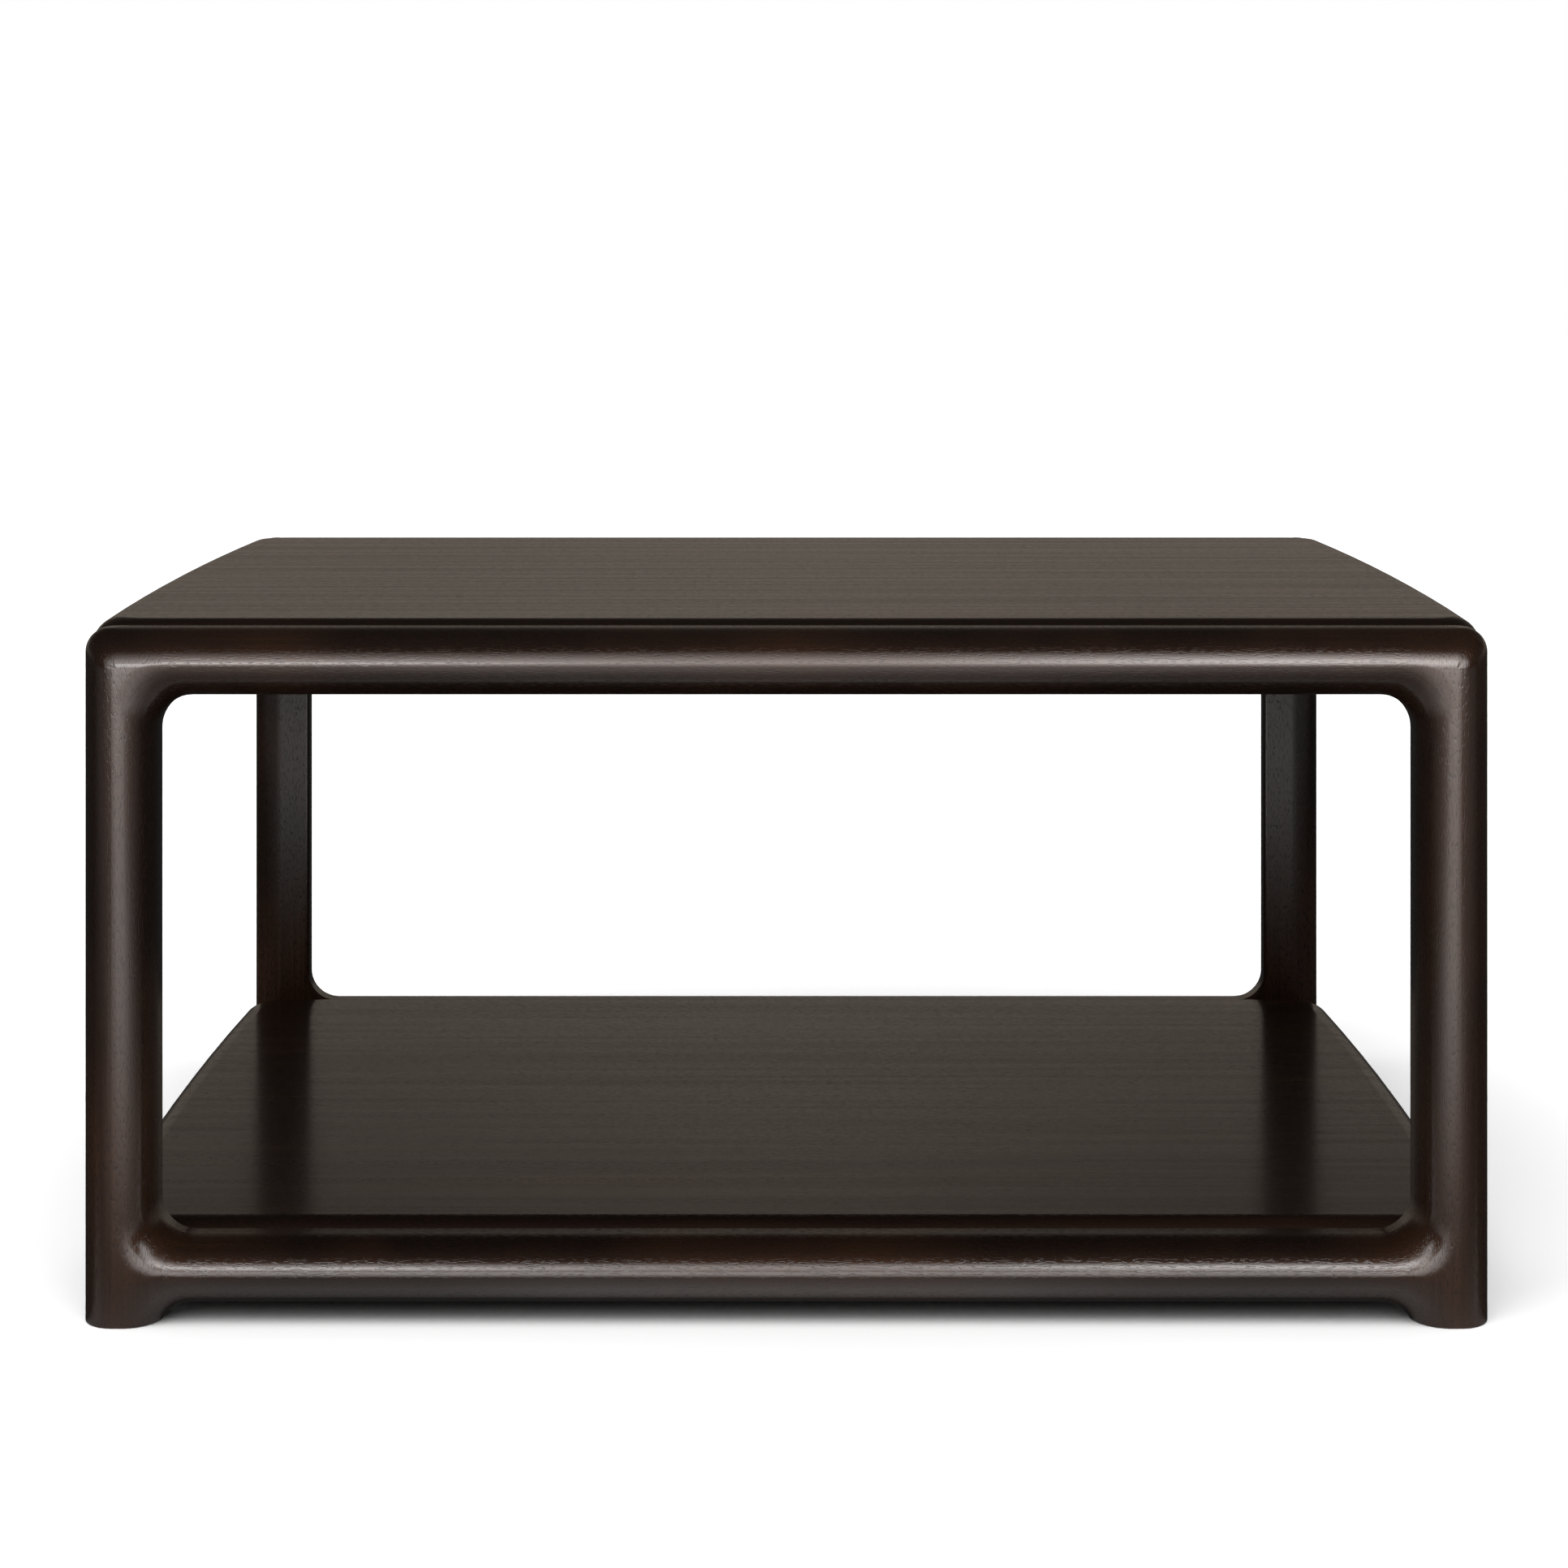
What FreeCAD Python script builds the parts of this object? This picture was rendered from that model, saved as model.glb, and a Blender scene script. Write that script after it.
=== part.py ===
import FreeCAD, Part
import os
import re
import Sketcher

# Kang table: two portal frames with a thick tabletop and a thick shelf between them.
# The frame of reference stands on the floor under the middle of the table: +X to the right,
# +Y to the back, +Z up. Millimetres.

V = FreeCAD.Vector
doc = FreeCAD.newDocument("kang_table")

# Driving sizes: alias, value, what it measures
SIZES = [
    ("table_width", 800.0, "across the outer faces of the legs"),
    ("table_depth", 800.0, "from the front of the front legs to the back of the back legs"),
    ("frame_height", 394.2, "floor to the top of the top rails"),
    ("leg_width", 41.5, "leg across the table"),
    ("leg_depth", 41.5, "leg and rails from front to back"),
    ("top_rail_height", 38.2, "top rail, upright"),
    ("lower_rail_height", 37.4, "lower rail, upright"),
    ("lower_rail_top", 47.6, "floor to the top of the lower rails"),
    ("nose_depth", 26.0, "front to back of the oval nose on legs and rails"),
    ("nose_flat", 0.5, "flat left between the two rounds on the slimmest rail"),
    ("crown_round", 13.0, "outer top corners of a frame, seen from the front"),
    ("leg_back_round", 20.0, "outer edge of a leg on the side of the boards, across the table"),
    ("leg_back_depth", 14.0, "the same round from front to back"),
    ("arris_round", 3.0, "edges of a frame that face the boards"),
    ("ear_round", 20.0, "inside corners of a frame, seen from the front"),
    ("ear_reach", 6.0, "how far a leg reaches past its inner face at a rail"),
    ("tenon_length", 28.0, "rail tenon past its shoulder"),
    ("tenon_thickness", 14.0, "rail tenon, front to back"),
    ("tenon_height", 22.0, "rail tenon, upright"),
    ("fit_gap", 0.1, "glue gap on every side of a tenon or key"),
    ("end_gap", 0.5, "room past the end of a tenon"),
    ("board_thickness", 38.0, "tabletop and shelf"),
    ("board_bow", 7.0, "how far a board's side swells between its ends"),
    ("board_overhang", 10.0, "middle of a board's side past the legs"),
    ("board_corner", 32.0, "plan corners of a board"),
    ("board_edge_flat", 4.0, "flat left in the middle of a board's rounded edge"),
    ("board_gap", 0.3, "joint between a board and its rail"),
    ("tabletop_lift", 2.4, "tabletop above the top rails"),
    ("shelf_lift", 3.6, "shelf above the lower rails"),
    ("loose_length", 44.0, "loose tenon, front to back"),
    ("loose_width", 40.0, "loose tenon, along the rail"),
    ("loose_thickness", 8.0, "loose tenon, upright"),
    ("loose_spacing", 112.0, "between the middles of two loose tenons"),
    ("key_depth", 12.0, "dovetailed key, upright"),
    ("key_mouth", 26.0, "dovetailed key at the underside of the board"),
    ("key_flare", 4.0, "how much each side of the key spreads towards its root"),
    ("key_stop", 60.0, "uncut board in front of a key"),
    ("pad_radius", 11.0, "felt pad"),
    ("pad_thickness", 3.0, "felt pad"),
    ("pad_stand", 0.4, "how far a felt pad stands out of the foot"),
    ("overrun", 5.0, "how far cutting shapes run past what they cut"),
]
LOOSE_COUNT = 6
KEY_COLUMNS = {"left": -1, "middle": 0, "right": 1}

sheet = doc.addObject("Spreadsheet::Sheet", "sizes")
for row, (alias, value, note) in enumerate(SIZES, 1):
    sheet.set("A%d" % row, alias)
    sheet.set("B%d" % row, str(value))
    sheet.setAlias("B%d" % row, alias)
    sheet.set("C%d" % row, note)
doc.recompute()

ALIASES = [alias for alias, value, note in SIZES]
WORDS = re.compile(r"\b(%s)\b" % "|".join(ALIASES))


def size(alias):
    """The number that the sheet holds under an alias."""
    return float(sheet.get(alias))


def bind(thing, **formulas):
    """Tie properties to the sheet: each formula is written in aliases."""
    for name, formula in formulas.items():
        path = name.replace("__", ".")
        thing.setExpression(path, WORDS.sub(r"sizes.\1", formula))


def place(thing, x="0", y="0", z="0"):
    bind(thing, Placement__Base__x=x, Placement__Base__y=y, Placement__Base__z=z)


# Heights and places that follow from the sizes, as formulas
FRONT = "-table_depth / 2"
RAIL_BACK = "(-table_depth / 2 + leg_depth)"
INNER = "(table_width / 2 - leg_width)"
SEAM = "(table_width / 2 - leg_width - ear_reach)"
TOP_RAIL_BOTTOM = "(frame_height - top_rail_height)"
LOWER_RAIL_BOTTOM = "(lower_rail_top - lower_rail_height)"
TABLETOP_FACE = "(frame_height + tabletop_lift)"
SHELF_FACE = "(lower_rail_top + shelf_lift)"
BOARD_HALF_DEPTH = "(table_depth / 2 - leg_depth - board_gap)"
BOARD_END = "(table_width / 2 + board_overhang - board_bow)"
NOSE_ROUND = "((min(leg_width; top_rail_height; lower_rail_height) - nose_flat) / 2)"
NOSE_STRETCH = "(nose_depth / " + NOSE_ROUND + ")"
NOSE_BACK = "(" + FRONT + " + nose_depth + nose_flat * " + NOSE_STRETCH + ")"
REAR_STRETCH = "(leg_back_depth / leg_back_round)"


def box(name, length, width, height, x, y, z):
    """A block whose lowest corner is at x, y, z."""
    block = doc.addObject("Part::Box", name)
    bind(block, Length=length, Width=width, Height=height)
    place(block, x, y, z)
    return block


def cut(name, base, *tools):
    """Base less its tools, which are joined first when there are several."""
    tool = tools[0]
    if len(tools) > 1:
        tool = doc.addObject("Part::Compound", name + "_tools")
        tool.Links = list(tools)
    result = doc.addObject("Part::Cut", name)
    result.Base = base
    result.Tool = tool
    return result


def common(name, base, tool):
    result = doc.addObject("Part::Common", name)
    result.Base = base
    result.Tool = tool
    return result


def fuse(name, *pieces):
    result = doc.addObject("Part::MultiFuse", name)
    result.Shapes = list(pieces)
    return result


def mirror(name, source, normal):
    result = doc.addObject("Part::Mirroring", name)
    result.Source = source
    result.Normal = normal
    return result


def rounded(name, base, radius_of):
    """Round the edges for which radius_of gives a radius."""
    doc.recompute()
    result = doc.addObject("Part::Fillet", name)
    result.Base = base
    radii = [(index, radius_of(edge)) for index, edge in enumerate(base.Shape.Edges, 1)]
    result.Edges = [(index, radius, radius) for index, radius in radii if radius]
    doc.recompute()
    return result


def ends(edge):
    return [vertex.Point for vertex in edge.Vertexes]


NEAR = 1e-4


def runs_along_y(edge):
    points = ends(edge)
    return len(points) == 2 and (points[0] - points[1]).cross(V(0, 1, 0)).Length < NEAR


# One portal frame in one piece, with its feet run on below the floor. Its section is oval: the nose
# and the rear are rounded as two plates, which are then stretched or pressed from front to back.

def frame_plate(name, depth, y):
    """The outline of a frame as a plate, its inside corners rounded."""
    span = "table_width - 2 * leg_width"
    through = "(%s + 2 * overrun)" % depth
    slab = box(name + "_slab", "table_width", depth, "frame_height + ear_round",
               "-table_width / 2", y, "-ear_round")
    opening = box(name + "_opening", span, through, TOP_RAIL_BOTTOM + " - lower_rail_top",
                  "-" + INNER, y + " - overrun", "lower_rail_top")
    under = box(name + "_under", span, through, LOWER_RAIL_BOTTOM + " + ear_round + overrun",
                "-" + INNER, y + " - overrun", "-ear_round - overrun")
    square = cut(name + "_square", slab, opening, under)
    inner = size("table_width") / 2 - size("leg_width")

    def ear(edge):
        point = ends(edge)[0]
        at_corner = abs(abs(point.x) - inner) < NEAR and point.z > NEAR - size("ear_round")
        return size("ear_round") if runs_along_y(edge) and at_corner else None

    return rounded(name + "_eared", square, ear)


def stretched(name, base, stretch, y):
    """A plate stretched from front to back, with its own zero put at y."""
    result = doc.addObject("Part::Scale", name + "_stretched")
    result.Base = base
    result.Uniform = False
    result.XScale = 1
    result.ZScale = 1
    bind(result, YScale=stretch)
    place(result, y=y)
    doc.recompute()
    return result


def frame_blank():
    outer = size("table_width") / 2
    top = size("frame_height")
    bottom = -size("ear_round")
    slimmest = min(size("leg_width"), size("top_rail_height"), size("lower_rail_height"))
    nose_round = (slimmest - size("nose_flat")) / 2

    def crown(edge):
        point = ends(edge)[0]
        at_crown = abs(abs(point.x) - outer) < NEAR and abs(point.z - top) < NEAR
        return size("crown_round") if runs_along_y(edge) and at_crown else None

    def lies_at(edge, y):
        points = ends(edge)
        at_foot = all(abs(point.z - bottom) < NEAR for point in points)
        return not at_foot and all(abs(point.y - y) < NEAR for point in points)

    def nose_edge(edge):
        return crown(edge) or (nose_round if lies_at(edge, 0) else None)

    def back_edge(edge):
        if not lies_at(edge, 0):
            return crown(edge)
        points = ends(edge)
        beside = all(abs(abs(point.x) - outer) < NEAR for point in points)
        along_top = all(abs(point.z - top) < NEAR for point in points)
        return size("leg_back_round") if beside and not along_top else size("arris_round")

    plate = frame_plate("nose", "(%s + nose_flat)" % NOSE_ROUND, "0")
    nose = stretched("nose", rounded("nose_rounded", plate, nose_edge), NOSE_STRETCH, FRONT)
    depth = "((%s - %s) / %s)" % (RAIL_BACK, NOSE_BACK, REAR_STRETCH)
    plate = frame_plate("rear", depth, "-" + depth)
    rear = stretched("rear", rounded("rear_rounded", plate, back_edge), REAR_STRETCH, RAIL_BACK)
    return fuse("frame_rounded", nose, rear)


# Rail tenons and the mortises that they fill

def tenon(name, middle, right, grown):
    """A tenon at one end of a rail, or the mortise for it when grown."""
    gap = " + 2 * fit_gap" if grown else ""
    thick = "(tenon_thickness" + gap + ")"
    tall = "(tenon_height" + gap + ")"
    length = "(tenon_length" + (" + end_gap" if grown else "") + ")"
    x = SEAM + " - overrun" if right else "-" + SEAM + " - " + length
    return box(name, length + " + overrun", thick, tall, x,
               FRONT + " + (leg_depth - " + thick + ") / 2", middle + " - " + tall + " / 2")


TOP_RAIL_MIDDLE = "(frame_height - top_rail_height / 2)"
LOWER_RAIL_MIDDLE = "(lower_rail_top - lower_rail_height / 2)"


# Loose tenons: rows of flat tongues with round ends, half in the rail and half in the board

def loose_row(name, level, grown):
    """A row of loose tenons, or of the mortises for them when grown."""
    gap = size("fit_gap") if grown else 0
    grow = " + fit_gap" if grown else ""
    reach = "loose_length" + (" + 2 * end_gap" if grown else "")
    body = doc.addObject("PartDesign::Body", name)
    plane = next(f for f in body.Origin.OriginFeatures if f.Role == "XZ_Plane")
    sketch = body.newObject("Sketcher::SketchObject", name + "_outline")
    sketch.AttachmentSupport = [(plane, "")]
    sketch.MapMode = "FlatFace"
    start = -(LOOSE_COUNT - 1) / 2 * size("loose_spacing")
    half = size("loose_thickness") / 2 + gap
    straight = size("loose_width") / 2 - size("loose_thickness") / 2
    left = V(start - straight, 0, 0)
    right = V(start + straight, 0, 0)
    up = V(0, half, 0)
    side = V(half, 0, 0)
    sketch.addGeometry(Part.LineSegment(left - up, right - up), False)
    sketch.addGeometry(Part.Arc(right - up, right + side, right + up), False)
    sketch.addGeometry(Part.LineSegment(right + up, left + up), False)
    sketch.addGeometry(Part.Arc(left + up, left - side, left - up), False)
    for first in range(4):
        second = (first + 1) % 4
        sketch.addConstraint(Sketcher.Constraint("Tangent", first, 2, second, 1))
    sketch.addConstraint(Sketcher.Constraint("Horizontal", 0))
    radius = sketch.addConstraint(Sketcher.Constraint("Radius", 1, half))
    length = sketch.addConstraint(Sketcher.Constraint("DistanceX", 0, 1, 0, 2, 2 * straight))
    across = sketch.addConstraint(Sketcher.Constraint("DistanceX", 0, 1, -1, 1, -left.x))
    below = sketch.addConstraint(Sketcher.Constraint("DistanceY", 0, 1, -1, 1, half))
    for index, label in ((radius, "radius"), (length, "length"), (across, "across"),
                         (below, "below")):
        sketch.renameConstraint(index, label)
    half_row = "(%d * loose_spacing / 2)" % (LOOSE_COUNT - 1)
    bind(sketch, Constraints__radius="loose_thickness / 2" + grow,
         Constraints__length="loose_width - loose_thickness",
         Constraints__across=half_row + " + (loose_width - loose_thickness) / 2",
         Constraints__below="loose_thickness / 2" + grow)
    pad = body.newObject("PartDesign::Pad", name + "_pad")
    pad.Profile = sketch
    pad.Midplane = True
    bind(pad, Length=reach)
    doc.recompute()
    row = body.newObject("PartDesign::LinearPattern", name + "_row")
    row.Originals = [pad]
    row.Direction = (sketch, ["H_Axis"])
    row.Occurrences = LOOSE_COUNT
    bind(row, Length="2 * " + half_row)
    body.Tip = row
    place(body, "0", RAIL_BACK + " + board_gap / 2", level)
    doc.recompute()
    return body


# Boards: bowed sides, round corners and a full round edge

def board_blank(name, face):
    body = doc.addObject("PartDesign::Body", name)
    plane = next(f for f in body.Origin.OriginFeatures if f.Role == "XY_Plane")
    sketch = body.newObject("Sketcher::SketchObject", name + "_outline")
    sketch.AttachmentSupport = [(plane, "")]
    sketch.MapMode = "FlatFace"
    depth = size("table_depth") / 2 - size("leg_depth") - size("board_gap")
    bow = size("board_bow")
    middle = size("table_width") / 2 + size("board_overhang")
    end = middle - bow
    sketch.addGeometry(Part.LineSegment(V(-end, -depth, 0), V(end, -depth, 0)), False)
    sketch.addGeometry(Part.Arc(V(end, -depth, 0), V(middle, 0, 0), V(end, depth, 0)), False)
    sketch.addGeometry(Part.LineSegment(V(end, depth, 0), V(-end, depth, 0)), False)
    sketch.addGeometry(Part.Arc(V(-end, depth, 0), V(-middle, 0, 0), V(-end, -depth, 0)), False)
    for first in range(4):
        second = (first + 1) % 4
        sketch.addConstraint(Sketcher.Constraint("Coincident", first, 2, second, 1))
    swell = (depth ** 2 + bow ** 2) / (2 * bow)
    named = {}
    for edge, sign in ((0, 1), (2, -1)):
        sketch.addConstraint(Sketcher.Constraint("Horizontal", edge))
        which = "front" if sign > 0 else "back"
        named[which + "_width"] = Sketcher.Constraint("DistanceX", edge, 1, edge, 2, sign * 2 * end)
        named[which + "_half"] = Sketcher.Constraint("DistanceX", edge, 1, -1, 1, sign * end)
        named[which + "_depth"] = Sketcher.Constraint("DistanceY", edge, 1, -1, 1, sign * depth)
    named["right_swell"] = Sketcher.Constraint("Radius", 1, swell)
    named["left_swell"] = Sketcher.Constraint("Radius", 3, swell)
    for label, constraint in named.items():
        sketch.renameConstraint(sketch.addConstraint(constraint), label)
    formula = "(%s ^ 2 + board_bow ^ 2) / (2 * board_bow)" % BOARD_HALF_DEPTH
    bind(sketch, Constraints__right_swell=formula, Constraints__left_swell=formula)
    for which, sign in (("front", ""), ("back", "-")):
        bind(sketch, **{"Constraints__%s_width" % which: sign + "2 * " + BOARD_END,
                        "Constraints__%s_half" % which: sign + BOARD_END,
                        "Constraints__%s_depth" % which: sign + BOARD_HALF_DEPTH})
    pad = body.newObject("PartDesign::Pad", name + "_pad")
    pad.Profile = sketch
    pad.Reversed = True
    bind(pad, Length="board_thickness")
    doc.recompute()
    corners = ["Edge%d" % i for i, edge in enumerate(pad.Shape.Edges, 1)
               if abs(ends(edge)[0].z - ends(edge)[-1].z) > NEAR]
    corner = body.newObject("PartDesign::Fillet", name + "_corners")
    corner.Base = (pad, corners)
    bind(corner, Radius="board_corner")
    doc.recompute()
    rims = ["Edge%d" % i for i, edge in enumerate(corner.Shape.Edges, 1)
            if abs(ends(edge)[0].z - ends(edge)[-1].z) < NEAR]
    rim = body.newObject("PartDesign::Fillet", name + "_rim")
    rim.Base = (corner, rims)
    bind(rim, Radius="(board_thickness - board_edge_flat) / 2")
    body.Tip = rim
    place(body, z=face)
    doc.recompute()
    return body


# Dovetailed keys, slid in from the back edge of a board

def key_bar(name, face, column, grown):
    """A dovetail bar under a board, or the housing for it when grown."""
    gap = size("fit_gap") if grown else 0
    grow = " + fit_gap" if grown else ""
    body = doc.addObject("PartDesign::Body", name)
    plane = next(f for f in body.Origin.OriginFeatures if f.Role == "XZ_Plane")
    sketch = body.newObject("Sketcher::SketchObject", name + "_outline")
    sketch.AttachmentSupport = [(plane, "")]
    sketch.MapMode = "FlatFace"
    mouth = size("key_mouth") / 2 + gap
    root = mouth + size("key_flare")
    high = size("key_depth") + gap
    corners = [V(-mouth, 0, 0), V(mouth, 0, 0), V(root, high, 0), V(-root, high, 0)]
    for first in range(4):
        line = Part.LineSegment(corners[first], corners[(first + 1) % 4])
        sketch.addGeometry(line, False)
    for first in range(4):
        second = (first + 1) % 4
        sketch.addConstraint(Sketcher.Constraint("Coincident", first, 2, second, 1))
    sketch.addConstraint(Sketcher.Constraint("Horizontal", 2))
    sketch.addConstraint(Sketcher.Constraint("PointOnObject", 0, 1, -1))
    sketch.addConstraint(Sketcher.Constraint("Horizontal", 0))
    named = {
        "mouth": Sketcher.Constraint("DistanceX", 0, 1, 0, 2, 2 * mouth),
        "half": Sketcher.Constraint("DistanceX", 0, 1, -1, 1, mouth),
        "root": Sketcher.Constraint("DistanceX", 2, 2, 2, 1, 2 * root),
        "lean": Sketcher.Constraint("DistanceX", 2, 2, -1, 1, root),
        "high": Sketcher.Constraint("DistanceY", 0, 1, 2, 2, high),
    }
    for label, constraint in named.items():
        sketch.renameConstraint(sketch.addConstraint(constraint), label)
    half_mouth = "(key_mouth / 2" + grow + ")"
    half_root = "(key_mouth / 2 + key_flare" + grow + ")"
    bind(sketch, Constraints__mouth="2 * " + half_mouth, Constraints__half=half_mouth,
         Constraints__root="2 * " + half_root, Constraints__lean=half_root,
         Constraints__high="key_depth" + grow)
    pad = body.newObject("PartDesign::Pad", name + "_pad")
    pad.Profile = sketch
    pad.Reversed = True
    front_stop = "(" + BOARD_HALF_DEPTH + " - key_stop" + (" + end_gap" if grown else "") + ")"
    bind(pad, Length=BOARD_HALF_DEPTH + " + " + front_stop + " + overrun")
    body.Tip = pad
    place(body, "%d * 2 * loose_spacing" % column, "-" + front_stop, face + " - board_thickness")
    doc.recompute()
    return body


# Felt pads and their recesses

def pad_disc(name, x, y, grown):
    disc = doc.addObject("Part::Cylinder", name)
    gap = " + fit_gap" if grown else ""
    bind(disc, Radius="pad_radius" + gap, Height="pad_thickness" + gap)
    place(disc, x, y)
    return disc


# Assembly of the frame pieces

frame = frame_blank()

leg_zone = box("leg_zone", "leg_width + ear_reach + overrun", "leg_depth + 2 * overrun",
               "frame_height + overrun", "-table_width / 2 - overrun", FRONT + " - overrun",
               "pad_stand")
leg_stock = common("leg_stock", frame, leg_zone)
leg = cut("leg_front_left", leg_stock,
          tenon("top_mortise", TOP_RAIL_MIDDLE, False, True),
          tenon("lower_mortise", LOWER_RAIL_MIDDLE, False, True),
          pad_disc("pad_recess", "-(table_width - leg_width) / 2",
                   "-(table_depth - leg_depth) / 2", True))
leg_right = mirror("leg_front_right", leg, V(1, 0, 0))
leg_back = mirror("leg_back_left", leg, V(0, 1, 0))
leg_back_right = mirror("leg_back_right", leg_back, V(1, 0, 0))

LEVELS = {"top": TABLETOP_FACE + " - board_thickness / 2", "shelf": SHELF_FACE + " - board_thickness / 2"}
mortise_rows = {}
loose_rows = {}
for level, formula in LEVELS.items():
    mortise_rows[level] = loose_row(level + "_mortise_row", formula, True)
    loose_rows[level] = loose_row("loose_tenons_%s_front" % level, formula, False)


def rail(name, height, top, middle, level):
    zone = box(name + "_zone", "2 * " + SEAM, "leg_depth + 2 * overrun",
               height + " + 2 * ear_round", "-" + SEAM, FRONT + " - overrun",
               top + " - " + height + " - ear_round")
    stock = common(name + "_stock", frame, zone)
    tenoned = fuse(name + "_tenoned", stock, tenon(name + "_tenon_left", middle, False, False),
                   tenon(name + "_tenon_right", middle, True, False))
    return cut(name, tenoned, mortise_rows[level])


top_rail = rail("top_rail_front", "top_rail_height", "frame_height", TOP_RAIL_MIDDLE, "top")
lower_rail = rail("lower_rail_front", "lower_rail_height", "lower_rail_top", LOWER_RAIL_MIDDLE,
                  "shelf")
nodes = [leg, leg_right, leg_back, leg_back_right, top_rail, lower_rail,
         mirror("top_rail_back", top_rail, V(0, 1, 0)),
         mirror("lower_rail_back", lower_rail, V(0, 1, 0))]

# Assembly of the boards with their keys and loose tenons

for level, board_name, face in (("top", "tabletop", TABLETOP_FACE), ("shelf", "shelf", SHELF_FACE)):
    blank = board_blank(board_name + "_blank", face)
    housings = []
    for column, place_number in KEY_COLUMNS.items():
        bar = key_bar("%s_%s_bar" % (level, column), face, place_number, False)
        nodes.append(common("%s_key_%s" % (level, column), bar, blank))
        housings.append(key_bar("%s_%s_housing" % (level, column), face, place_number, True))
    back_row = mirror(level + "_mortise_row_back", mortise_rows[level], V(0, 1, 0))
    nodes.append(cut(board_name, blank, mortise_rows[level], back_row, *housings))
    nodes.append(loose_rows[level])
    nodes.append(mirror("loose_tenons_%s_back" % level, loose_rows[level], V(0, 1, 0)))

for row, y_sign in (("front", "-"), ("back", "")):
    for column, x_sign in (("left", "-"), ("right", "")):
        nodes.append(pad_disc("felt_pad_%s_%s" % (row, column),
                              x_sign + "(table_width - leg_width) / 2",
                              y_sign + "(table_depth - leg_depth) / 2", False))

doc.recompute()

# Checks, then one file for each sub-part

for thing in doc.Objects:
    if "Invalid" in thing.State or "Error" in thing.State:
        raise RuntimeError("failed object: " + thing.Label)
os.makedirs("parts", exist_ok=True)
for node in nodes:
    shape = node.Shape
    if shape.isNull() or not shape.isValid() or not shape.Solids:
        raise RuntimeError("bad shape: " + node.Label)
    solids = shape.Solids
    whole = solids[0] if len(solids) == 1 else Part.makeCompound(solids)
    whole.exportStep(os.path.join("parts", node.Label + ".step"))
    print("%-26s solids %d volume %.0f" % (node.Label, len(solids), shape.Volume))
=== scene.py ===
import math

import bpy
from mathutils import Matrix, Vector


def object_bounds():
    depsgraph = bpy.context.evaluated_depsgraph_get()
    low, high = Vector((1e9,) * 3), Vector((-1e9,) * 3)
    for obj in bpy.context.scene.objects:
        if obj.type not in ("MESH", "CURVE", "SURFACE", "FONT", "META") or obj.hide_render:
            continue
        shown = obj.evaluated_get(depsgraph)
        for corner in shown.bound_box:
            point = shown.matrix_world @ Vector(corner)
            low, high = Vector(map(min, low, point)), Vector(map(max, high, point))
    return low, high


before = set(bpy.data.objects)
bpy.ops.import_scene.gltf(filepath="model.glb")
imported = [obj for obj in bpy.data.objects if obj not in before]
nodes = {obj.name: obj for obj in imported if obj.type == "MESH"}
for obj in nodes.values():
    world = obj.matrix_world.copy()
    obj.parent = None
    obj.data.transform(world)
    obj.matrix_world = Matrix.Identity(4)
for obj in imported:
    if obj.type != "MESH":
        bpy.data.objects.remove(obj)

CAD_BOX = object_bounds()
MM = 0.001

# Camera. The picture is 1932 pixels on a side. The camera looks level along +Y, so the uprights
# stay upright, and the picture is shifted down to take in the table.
IMAGE_SIDE = 1932
FOCAL_PIXELS = 5016
HORIZON_ROW = 319.1
MIDDLE_COLUMN = 969.0
CAMERA_TO_TABLE = 2300 * MM
CAMERA_HEIGHT = 604.6 * MM
SENSOR_WIDTH = 36.0


def make_camera():
    data = bpy.data.cameras.new("camera")
    data.sensor_fit = "HORIZONTAL"
    data.sensor_width = SENSOR_WIDTH
    data.lens = SENSOR_WIDTH * FOCAL_PIXELS / IMAGE_SIDE
    data.shift_x = (IMAGE_SIDE / 2 - MIDDLE_COLUMN) / IMAGE_SIDE
    data.shift_y = (HORIZON_ROW - IMAGE_SIDE / 2) / IMAGE_SIDE
    camera = bpy.data.objects.new("camera", data)
    bpy.context.scene.collection.objects.link(camera)
    camera.location = (0, CAD_BOX[0].y - CAMERA_TO_TABLE, CAMERA_HEIGHT)
    camera.rotation_euler = (math.radians(90), 0, 0)
    bpy.context.scene.camera = camera


make_camera()


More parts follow.
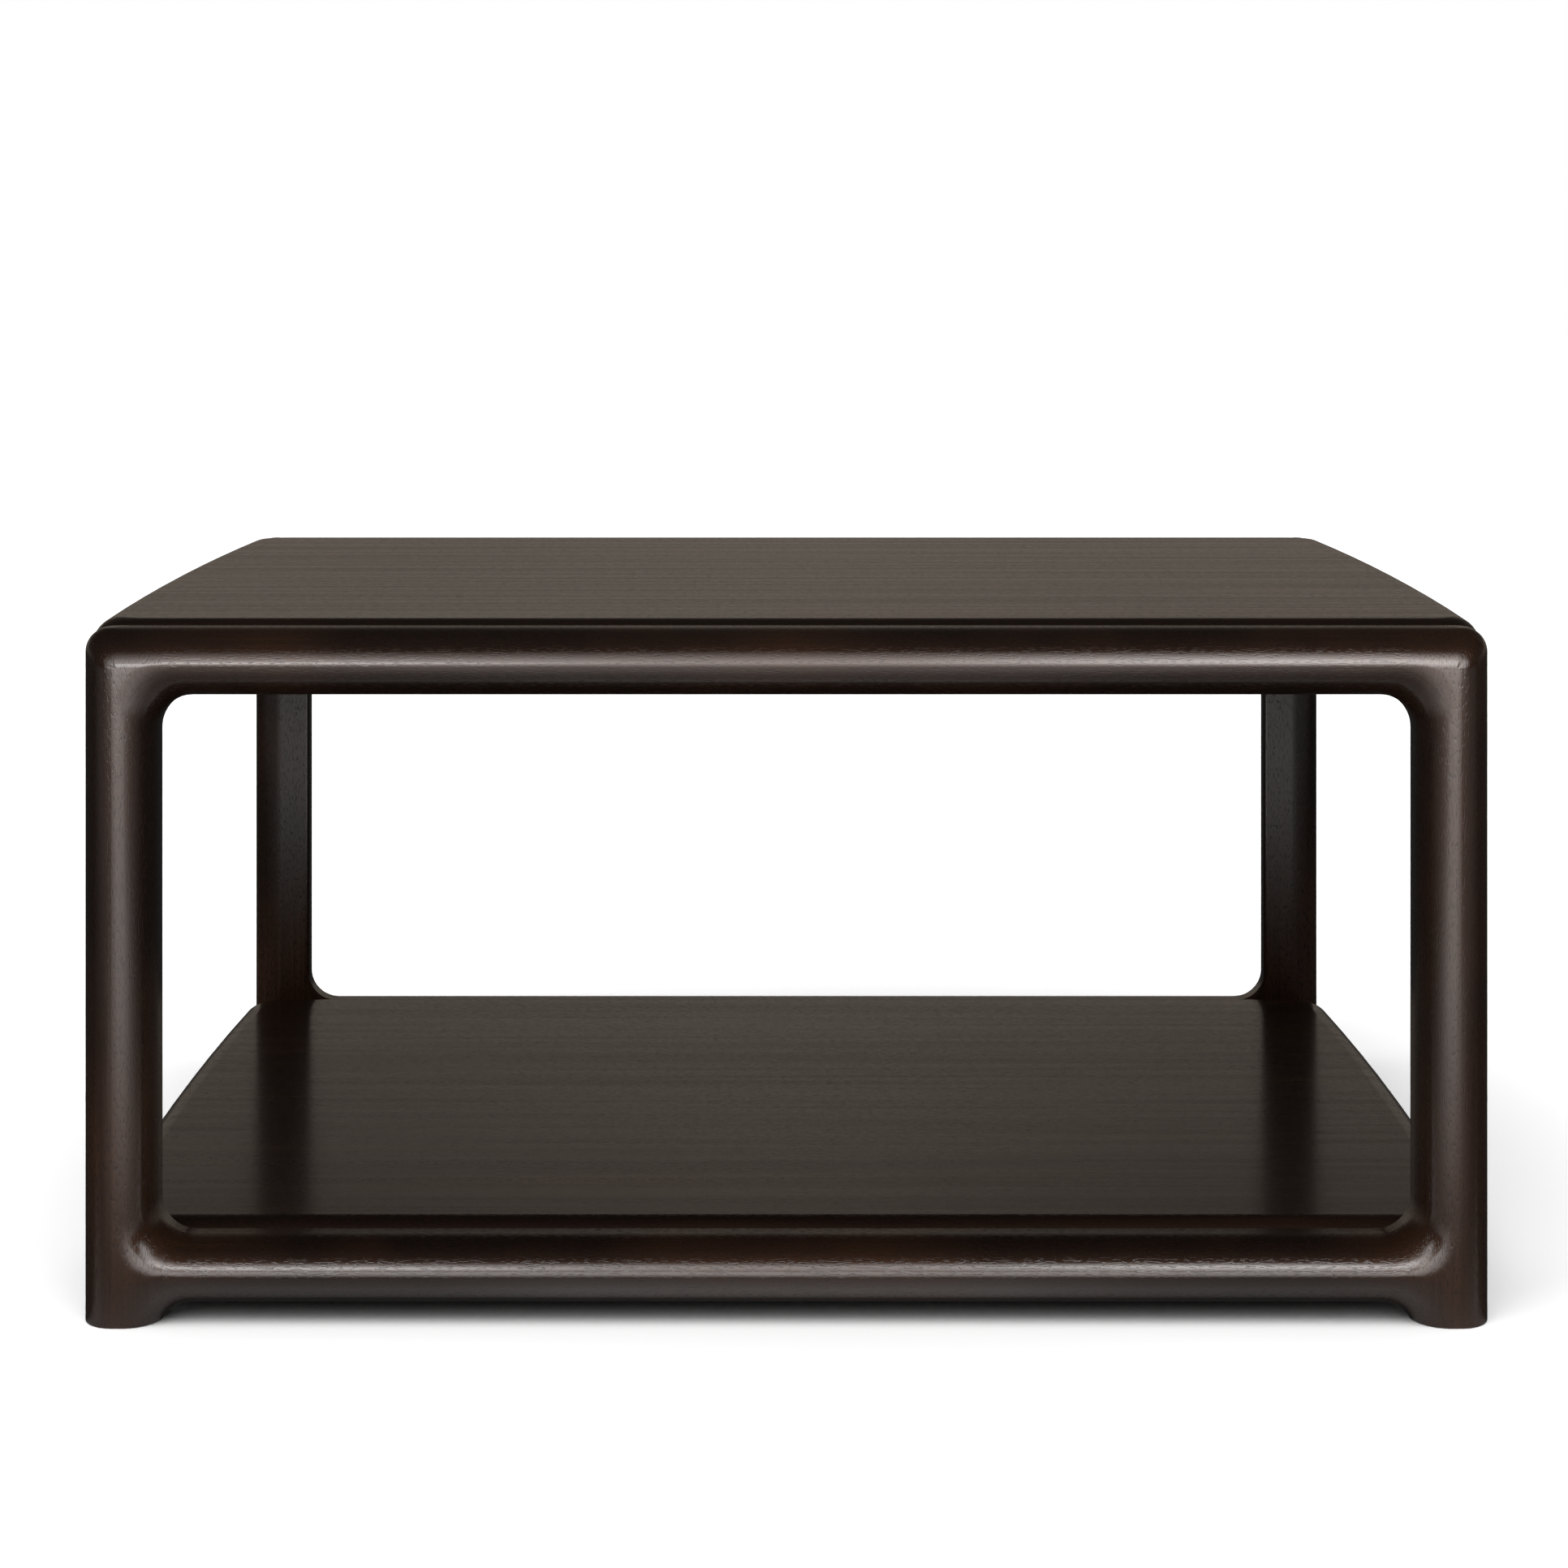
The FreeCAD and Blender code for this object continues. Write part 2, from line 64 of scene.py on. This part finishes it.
class Nodes:
    """A short way to write a node tree: each call adds one node and links what feeds it."""

    def __init__(self, tree):
        self.tree = tree
        tree.nodes.clear()

    def add(self, kind, inputs=None, **settings):
        node = self.tree.nodes.new(kind)
        for name, value in settings.items():
            setattr(node, name, value)
        for key, value in (inputs or {}).items():
            self.put(node.inputs[key], value)
        return node

    def put(self, socket, value):
        if isinstance(value, bpy.types.NodeSocket):
            self.tree.links.new(value, socket)
        else:
            socket.default_value = value

    def math(self, operation, *values):
        node = self.add("ShaderNodeMath", operation=operation)
        for socket, value in zip(node.inputs, values):
            self.put(socket, value)
        return node.outputs[0]

    def ramp(self, value, low, high, to_low=0.0, to_high=1.0):
        node = self.add("ShaderNodeMapRange", {0: value, 1: low, 2: high, 3: to_low, 4: to_high})
        return node.outputs[0]

    def mix(self, share, first, second):
        node = self.add("ShaderNodeMix", data_type="RGBA")
        self.put(node.inputs["Factor"], share)
        self.put(node.inputs[6], first)
        self.put(node.inputs[7], second)
        return node.outputs[2]

    def graded(self, value, stops):
        """A value read off a row of (place, value) stops."""
        node = self.add("ShaderNodeValToRGB", {0: value})
        row = node.color_ramp.elements
        for index, (place, level) in enumerate(stops):
            stop = row[index] if index < len(row) else row.new(place)
            stop.position = place
            stop.color = rgb(level, level, level)
        return node.outputs["Color"]

    def noise(self, vector, detail=2.0, roughness=0.5):
        node = self.add("ShaderNodeTexNoise", {"Vector": vector, "Scale": 1.0, "Detail": detail,
                                               "Roughness": roughness})
        return node.outputs["Fac"]

    def stretched(self, vector, per_metre, offset=(0, 0, 0)):
        node = self.add("ShaderNodeMapping", {"Vector": vector, "Location": offset,
                                              "Scale": per_metre})
        return node.outputs[0]


def rgb(*values):
    return (*values, 1.0)


# On the real table the rounds of legs and rails meet without a flat and widen into the inside
# corners. The solids have one plain round, so a height in millimetres bends the shading to match.
# These are the sizes of the frames that it follows, in millimetres.
FRAME_HALF_WIDTH = 400.0
FRAME_TOP = 394.2
LEG_WIDTH = 41.5
TOP_RAIL_HEIGHT = 38.2
LOWER_RAIL_HEIGHT = 37.4
LOWER_RAIL_TOP = 47.6
INSIDE_CORNER = 20.0
NOSE_DEPTH = 26.0
NOSE_ROUND = 18.45
EASED_ROUND = 20.75
EASED_CROWN = 21.0
EASED_REACH = 34.0
UNDER_HALF_HEIGHT = 300.0

def distance_past(n, place, centre, half, corner):
    """How far a place on a frame lies from a rectangle with round corners, in millimetres.

    The second value is 1 on the diagonal of a corner and 0 along the sides."""
    def over(value, middle, reach):
        away = n.math("ABSOLUTE", n.math("SUBTRACT", n.math("MULTIPLY", value, 1000.0), middle))
        return n.math("SUBTRACT", away, reach - corner)
    x = over(place["X"], centre[0], half[0])
    z = over(place["Z"], centre[1], half[1])
    outside_x, outside_z = n.math("MAXIMUM", x, 0.0), n.math("MAXIMUM", z, 0.0)
    square = n.math("ADD", n.math("MULTIPLY", outside_x, outside_x),
                    n.math("MULTIPLY", outside_z, outside_z))
    inside = n.math("MINIMUM", n.math("MAXIMUM", x, z), 0.0)
    turn = n.math("DIVIDE", n.math("MULTIPLY", n.math("MULTIPLY", outside_x, outside_z), 2.0),
                  n.math("MAXIMUM", square, 0.01))
    away = n.math("SUBTRACT", n.math("ADD", n.math("SQRT", square), inside), corner)
    return away, n.math("MULTIPLY", turn, turn)


def eased_nose(n, place):
    """The normal of a frame's front with its noses eased into each other."""
    def fall(distance, across):
        part = n.math("MINIMUM", n.math("MAXIMUM", n.math("SUBTRACT", 1.0, n.math(
            "DIVIDE", distance, across)), 0.0), 0.999)
        return n.math("MULTIPLY", NOSE_DEPTH, n.math("SUBTRACT", 1.0, n.math("SQRT", n.math(
            "SUBTRACT", 1.0, n.math("MULTIPLY", part, part)))))

    def slope(distance, high):
        part = n.math("MAXIMUM", n.math("SUBTRACT", 1.0, n.math(
            "DIVIDE", distance, EASED_REACH)), 0.0)
        return n.math("MULTIPLY", high, n.math("MULTIPLY", part, part))

    inner = FRAME_HALF_WIDTH - LEG_WIDTH
    opening_top = FRAME_TOP - TOP_RAIL_HEIGHT
    opening_middle = (opening_top + LOWER_RAIL_TOP) / 2
    under_middle = LOWER_RAIL_TOP - LOWER_RAIL_HEIGHT - UNDER_HALF_HEIGHT
    outside, outside_turn = distance_past(n, place, (0, FRAME_TOP - FRAME_HALF_WIDTH),
                                          (FRAME_HALF_WIDTH, FRAME_HALF_WIDTH), EASED_CROWN)
    outside = n.math("MULTIPLY", outside, -1.0)
    opening, opening_turn = distance_past(n, place, (0, opening_middle),
                                          (inner, opening_top - opening_middle), INSIDE_CORNER)
    under, under_turn = distance_past(n, place, (0, under_middle), (inner, UNDER_HALF_HEIGHT),
                                      INSIDE_CORNER)
    height = n.math("ADD", n.math("MULTIPLY", slope(opening, 1.5), -1.0),
                    n.math("MULTIPLY", slope(under, 4.0), -1.0))
    for distance, turn, more in ((outside, outside_turn, 2.0), (opening, opening_turn, 7.0),
                                 (under, under_turn, 6.0)):
        eased = n.math("MULTIPLY_ADD", turn, more, EASED_ROUND)
        height = n.math("ADD", height, n.math("SUBTRACT", fall(distance, NOSE_ROUND),
                                              fall(distance, eased)))
    facing = n.add("ShaderNodeSeparateXYZ", {0: n.add("ShaderNodeNewGeometry").outputs["Normal"]})
    height = n.math("MULTIPLY", height, n.math("ABSOLUTE", facing.outputs["Y"]))
    nose_start = -CAD_BOX[0].y - NOSE_DEPTH * MM
    nose = n.ramp(n.math("ABSOLUTE", place["Y"]), nose_start - MM / 2, nose_start + MM / 2)
    bump = n.add("ShaderNodeBump", {"Height": n.math("MULTIPLY", height, nose), "Strength": 1.0,
                                    "Distance": MM})
    return bump.outputs[0]


# Wood: dark stain under a satin varnish. The grain runs along one axis of the table.

def wood(name, along, shift, varnish, oval=False):
    material = bpy.data.materials.new(name)
    material.use_nodes = True
    n = Nodes(material.node_tree)
    place = n.add("ShaderNodeTexCoord").outputs["Object"]

    def grain_space(run, across):
        scale = [across] * 3
        scale["XYZ".index(along)] = run
        return n.stretched(place, tuple(scale), shift)

    waver = n.noise(grain_space(1.5, 9.0), detail=2)
    broad = n.stretched(place, (6, 6, 6), shift) if oval else grain_space(2.2, 26.0)
    patch = n.noise(broad, detail=3)
    if oval:
        sides = n.add("ShaderNodeSeparateXYZ", {0: place}).outputs
        aside = n.math("ABSOLUTE", sides["X"])
        # More of the lighter brown towards the foot of the legs and across the middle of the rails.
        browner_lower_legs = n.math("MULTIPLY", n.ramp(sides["Z"], 0.3, 0.08, 0.0, 0.24),
                          n.ramp(aside, 0.27, 0.37))
        browner_low_and_middle = n.math("ADD", browner_lower_legs, n.ramp(aside, 0.2, 0.02, 0.0, 0.06))
        patch = n.math("ADD", patch, browner_low_and_middle)
    band = n.noise(grain_space(2.0, 70.0), detail=2)
    line = n.noise(grain_space(5.0, 420.0), detail=4, roughness=0.6)
    pores = n.noise(grain_space(230.0, 1500.0), detail=1)
    pore = n.ramp(pores, 0.56, 0.68)

    tone = n.mix(n.ramp(patch, 0.5, 0.85), rgb(0.0055, 0.0037, 0.003), rgb(0.032, 0.014, 0.007))
    tone = n.mix(n.math("MULTIPLY", n.ramp(line, 0.35, 0.7), 0.55), tone, rgb(0.006, 0.004, 0.0034))
    tone = n.mix(n.math("MULTIPLY", pore, 0.8), tone, rgb(0.003, 0.002, 0.002))
    shine = n.math("ADD", n.ramp(waver, 0.3, 0.7, 0.42, 0.5), n.math("MULTIPLY", pore, 0.3))
    height = n.math("SUBTRACT", n.math("MULTIPLY", line, 0.15 if oval else 0.3), pore)
    height = n.math("MULTIPLY_ADD", band, 0.08 if oval else 1.0, height)
    bump = n.add("ShaderNodeBump", {"Height": height, "Strength": 0.2, "Distance": 0.0003})
    if oval:
        n.put(bump.inputs["Normal"], eased_nose(n, sides))
    coat = 1.0 if oval else n.ramp(band, 0.35, 0.6, 0.84, 1.0)
    skin = n.add("ShaderNodeBsdfPrincipled", {
        "Base Color": tone, "Roughness": shine, "Specular IOR Level": 0.2,
        "Specular Tint": rgb(1.0, 0.45, 0.25), "Coat Weight": coat, "Coat Roughness": varnish,
        "Normal": bump.outputs[0], "Coat Normal": bump.outputs[0]})
    n.add("ShaderNodeOutputMaterial", {"Surface": skin.outputs[0]})
    return material


def felt():
    material = bpy.data.materials.new("felt")
    material.use_nodes = True
    n = Nodes(material.node_tree)
    place = n.add("ShaderNodeTexCoord").outputs["Object"]
    fibre = n.noise(n.stretched(place, (900, 900, 900)), detail=3)
    tone = n.mix(fibre, rgb(0.012, 0.011, 0.011), rgb(0.04, 0.038, 0.036))
    bump = n.add("ShaderNodeBump", {"Height": fibre, "Strength": 0.5, "Distance": 0.0005})
    skin = n.add("ShaderNodeBsdfPrincipled", {"Base Color": tone, "Roughness": 0.95,
                                              "Normal": bump.outputs[0]})
    n.add("ShaderNodeOutputMaterial", {"Surface": skin.outputs[0]})
    return material


def paint(thing, material):
    thing.data.materials.clear()
    thing.data.materials.append(material)


leg_wood = wood("leg_wood", "Z", (0.3, 0.1, 0.7), 0.17, oval=True)
rail_wood = wood("rail_wood", "X", (0.3, 0.1, 0.7), 0.17, oval=True)
board_wood = wood("board_wood", "X", (0.0, 0.0, 0.0), 0.15)
key_wood = wood("key_wood", "Y", (0.0, 0.5, 0.0), 0.26)
pad_felt = felt()
for name, thing in nodes.items():
    if name.startswith("leg"):
        paint(thing, leg_wood)
    elif "rail" in name:
        paint(thing, rail_wood)
    elif "key" in name:
        paint(thing, key_wood)
    elif name.startswith("felt"):
        paint(thing, pad_felt)
    else:
        paint(thing, board_wood)


# Studio: a white floor under a broad light overhead and another in front. The varnish alone
# reflects the rest: soft lights low in front of the table, a far wall and dim surroundings.

def make_world():
    world = bpy.data.worlds.new("studio")
    bpy.context.scene.world = world
    world.use_nodes = True
    n = Nodes(world.node_tree)
    ray = n.add("ShaderNodeLightPath").outputs
    seen = n.math("MAXIMUM", n.math("MAXIMUM", ray["Is Camera Ray"], ray["Is Glossy Ray"]),
                  ray["Is Transmission Ray"])
    white = n.add("ShaderNodeBackground", {"Color": rgb(1, 1, 1), "Strength": 1.0})
    fill = n.add("ShaderNodeBackground", {"Color": rgb(1, 1, 1), "Strength": 0.12})
    both = n.add("ShaderNodeMixShader", {0: seen, 1: fill.outputs[0], 2: white.outputs[0]})
    n.add("ShaderNodeOutputWorld", {"Surface": both.outputs[0]})


def make_floor():
    """The camera sees the floor brighter than the table does, so its white runs up to the table."""
    bpy.ops.mesh.primitive_plane_add(size=60, location=(0, 0, 0))
    floor = bpy.context.object
    floor.name = "floor"
    material = bpy.data.materials.new("white_floor")
    material.use_nodes = True
    n = Nodes(material.node_tree)
    tone = n.mix(n.add("ShaderNodeLightPath").outputs["Is Camera Ray"], rgb(0.85, 0.85, 0.85),
                 rgb(1.35, 1.35, 1.35))
    skin = n.add("ShaderNodeBsdfDiffuse", {"Color": tone})
    n.add("ShaderNodeOutputMaterial", {"Surface": skin.outputs[0]})
    paint(floor, material)


def only_reflected(thing, make_tone, sampling="NONE"):
    """A stage piece that only reflections see, with the glow that make_tone gives."""
    material = bpy.data.materials.new(thing.name)
    material.use_nodes = True
    material.cycles.emission_sampling = sampling
    n = Nodes(material.node_tree)
    place = n.add("ShaderNodeSeparateXYZ", {0: n.add("ShaderNodeTexCoord").outputs["Object"]})
    glow = n.add("ShaderNodeEmission", {"Color": make_tone(n, place.outputs), "Strength": 1.0})
    n.add("ShaderNodeOutputMaterial", {"Surface": glow.outputs[0]})
    paint(thing, material)
    thing.visible_camera = False
    thing.visible_diffuse = False
    thing.visible_shadow = False
    thing.visible_transmission = False


def make_surroundings():
    """A dim room, palest low down behind the table, where the two boards reflect it."""
    radius = 9
    bpy.ops.mesh.primitive_uv_sphere_add(segments=64, ring_count=32, radius=radius)
    dome = bpy.context.object
    dome.name = "surroundings"

    def tone(n, place):
        height = n.math("DIVIDE", place["Z"], radius)
        behind = n.graded(height, ((0.0, 0.172), (0.07, 0.18), (0.12, 0.21), (0.165, 0.235),
                                   (0.19, 0.225), (0.235, 0.168), (0.3, 0.08), (0.6, 0.02)))
        dim = n.math("MULTIPLY", n.ramp(n.math("ABSOLUTE", place["X"]), 0.2, 1.1, 0.0, 0.4),
                     n.ramp(height, 0.17, 0.235))
        behind = n.math("MULTIPLY", behind, n.math("SUBTRACT", 1.0, dim))
        share = n.ramp(place["Y"], -1.0, 3.0)
        warm = n.add("ShaderNodeMix", {"Factor": 1.0}, data_type="RGBA", blend_type="MULTIPLY")
        n.put(warm.inputs[6], behind)
        n.put(warm.inputs[7], rgb(1.0, 0.85, 0.715))
        return n.mix(share, rgb(0.02, 0.019, 0.018), warm.outputs[2])

    only_reflected(dome, tone)


def make_floor_card():
    """The varnish sees this glowing card as the floor: a painted reflection with painted shadow, dim
    under and behind the table, and paler the further in front.
    """
    bpy.ops.mesh.primitive_plane_add(size=17, location=(0, 0, 0.0004))
    card = bpy.context.object
    card.name = "floor_card"

    def tone(n, place):
        away = n.ramp(place["Y"], CAD_BOX[0].y, CAD_BOX[0].y - 2.5)
        # Just in front of the table the reflected floor dips dark: painted shadow of the table.
        pale = n.graded(away, ((0.0, 0.22), (0.015, 0.15), (0.03, 0.11), (0.056, 0.09), (0.14, 0.24),
                               (0.35, 0.63), (0.6, 0.66), (1.0, 0.7)))
        aside = n.math("MULTIPLY_ADD", away, -0.625, n.math("ABSOLUTE", place["X"]))
        beside = n.graded(aside, ((0.0, 1.0), (0.12, 1.0), (0.2, 0.7), (0.35, 0.6), (0.8, 0.14),
                                  (1.0, 0.12)))
        # Under and behind the table the card keeps only a faint glow: painted shadow of the table on
        # the reflected floor.
        share = n.math("MULTIPLY", beside, n.ramp(place["Y"], CAD_BOX[0].y + 0.02, CAD_BOX[0].y))
        glow = n.math("MULTIPLY_ADD", n.math("MULTIPLY", pale, share), 3.5, 0.02)
        return n.add("ShaderNodeCombineColor", {0: glow, 1: glow, 2: glow}).outputs[0]

    only_reflected(card, tone)


def make_card(name, make_glow, in_front, height, size, reach):
    """An upright card that only the first reflection sees, and only from within its reach.

    It stands in_front of the legs with its middle at height, all in metres."""
    bpy.ops.mesh.primitive_plane_add(size=1, location=(0, CAD_BOX[0].y - in_front, height),
                                     rotation=(math.radians(-90), 0, 0))
    card = bpy.context.object
    card.name = name
    card.scale = (*size, 1)

    def tone(n, place):
        across = n.math("MULTIPLY", place["X"], size[0])
        up = n.math("SUBTRACT", 0.5, place["Y"])
        ray = n.add("ShaderNodeLightPath").outputs
        seen = n.math("MULTIPLY", n.math("LESS_THAN", ray["Ray Depth"], 1.5),
                      n.ramp(ray["Ray Length"], reach + 0.25, reach))
        glow = n.math("MULTIPLY", make_glow(n, across, up), seen)
        return n.add("ShaderNodeCombineColor", {0: glow, 1: glow, 2: glow}).outputs[0]

    only_reflected(card, tone, "AUTO")


def make_softboxes():
    """Two soft lights low in front of the table with a dimmer stretch between them."""
    def glow(n, across, up):
        left = n.graded(up, ((0.0, 0.3), (0.033, 0.8), (0.067, 1.0), (0.094, 0.9), (0.128, 0.55),
                             (0.167, 0.32), (0.267, 0.15), (0.4, 0.06), (0.6, 0.0)))
        right = n.graded(up, ((0.0, 0.4), (0.042, 0.6), (0.094, 0.9), (0.155, 1.0), (0.2, 0.7),
                              (0.26, 0.42), (0.35, 0.22), (0.5, 0.08), (0.8, 0.0)))
        middle = n.graded(up, ((0.0, 0.28), (0.06, 0.4), (0.14, 0.42), (0.19, 0.3), (0.27, 0.18),
                               (0.38, 0.1), (0.6, 0.03), (0.9, 0.0)))
        level = n.mix(n.ramp(across, -0.11, -0.3), middle, left)
        level = n.mix(n.ramp(across, 0.07, 0.3), level, right)
        beside = n.ramp(n.math("ABSOLUTE", across), 1.1, 0.47, 0.0, 11.5)
        return n.math("MULTIPLY", level, beside)

    make_card("softboxes", glow, in_front=0.6, height=1.2, size=(4.4, 1.8), reach=0.85)


def make_far_wall():
    """The pale lower part of the studio behind the camera."""
    def glow(n, across, up):
        pale = n.graded(up, ((0.0, 0.5), (0.17, 0.58), (0.43, 0.84), (0.86, 1.0)))
        beside = n.ramp(n.math("ABSOLUTE", across), 1.9, 0.6)
        return n.math("MULTIPLY", n.math("MULTIPLY", pale, beside), 5.0)

    make_card("far_wall", glow, in_front=2.35, height=0.45, size=(4.4, 0.9), reach=2.6)


def make_light(name, place, energy, spread):
    """A broad light from a place towards the table's foot, which the varnish doesn't reflect."""
    data = bpy.data.lights.new(name, "SUN")
    data.energy = energy
    data.angle = math.radians(spread)
    light = bpy.data.objects.new(name, data)
    bpy.context.scene.collection.objects.link(light)
    light.location = place
    light.rotation_mode = "QUATERNION"
    light.rotation_quaternion = (-Vector(place)).to_track_quat("-Z", "Y")
    light.visible_camera = light.visible_glossy = False


make_world()
make_floor()
make_surroundings()
make_floor_card()
make_softboxes()
make_far_wall()
make_light("overhead", (-0.3, -0.1, 3.0), energy=1.7, spread=110)
make_light("front", (-0.3, -2.0, 2.0), energy=1.5, spread=60)
bpy.context.scene.view_settings.view_transform = "Standard"
